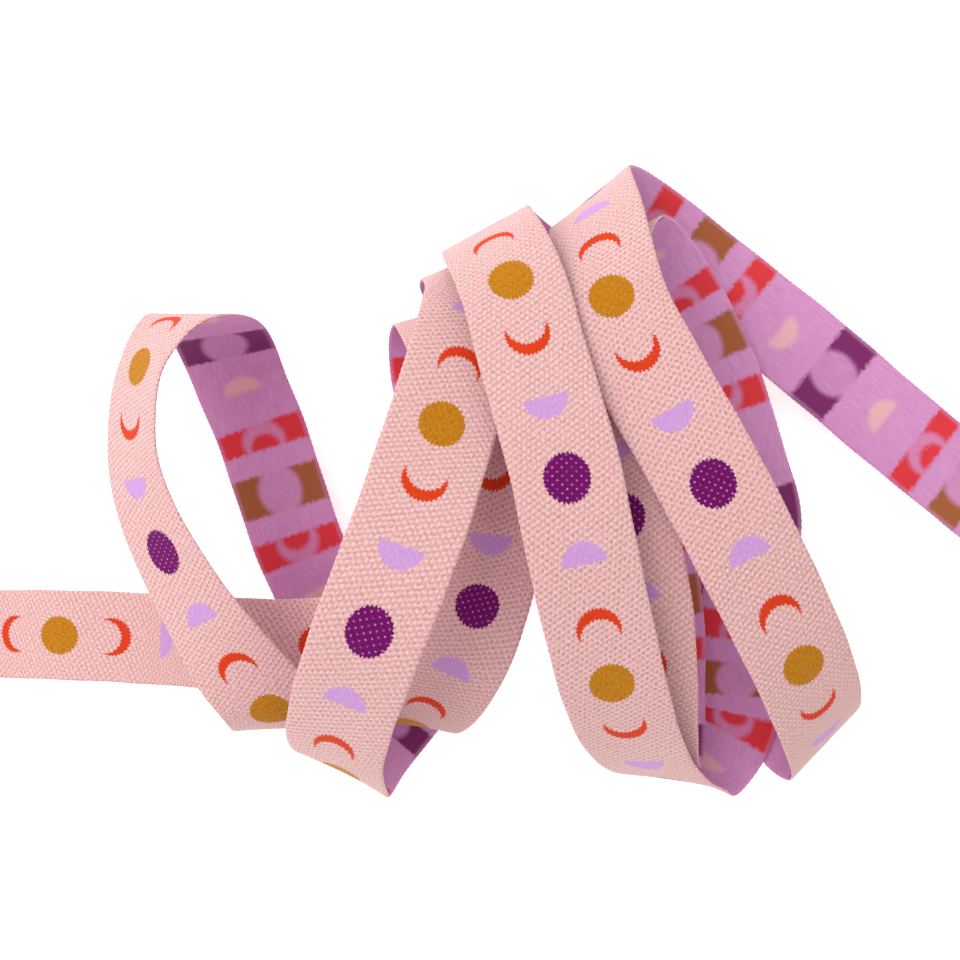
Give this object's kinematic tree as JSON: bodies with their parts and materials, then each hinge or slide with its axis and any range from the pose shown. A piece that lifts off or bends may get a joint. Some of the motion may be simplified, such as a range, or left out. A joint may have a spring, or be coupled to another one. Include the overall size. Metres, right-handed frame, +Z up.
{
  "type": "jacquard ribbon length",
  "caption": "A length of narrow woven ribbon with a row of discs, half-discs and crescents, dropped on a table in loose turns that lie on their side, with a plain cut end at each side.",
  "frame": {"origin": "on the table, under the middle of the whole part", "axes": "+Z is up from the table. +X runs along the axis of the turns, from the tail with a quarter turn in it to the plain tail. The turns rise at +Y and come down at -Y"},
  "size_m": [0.2102, 0.1082, 0.0625],
  "materials": {
    "ribbon": "beaded jacquard weave, matt with a slight sheen"
  },
  "bodies": {
    "root": {"ribbon": "ribbon"}
  },
  "joints": []
}
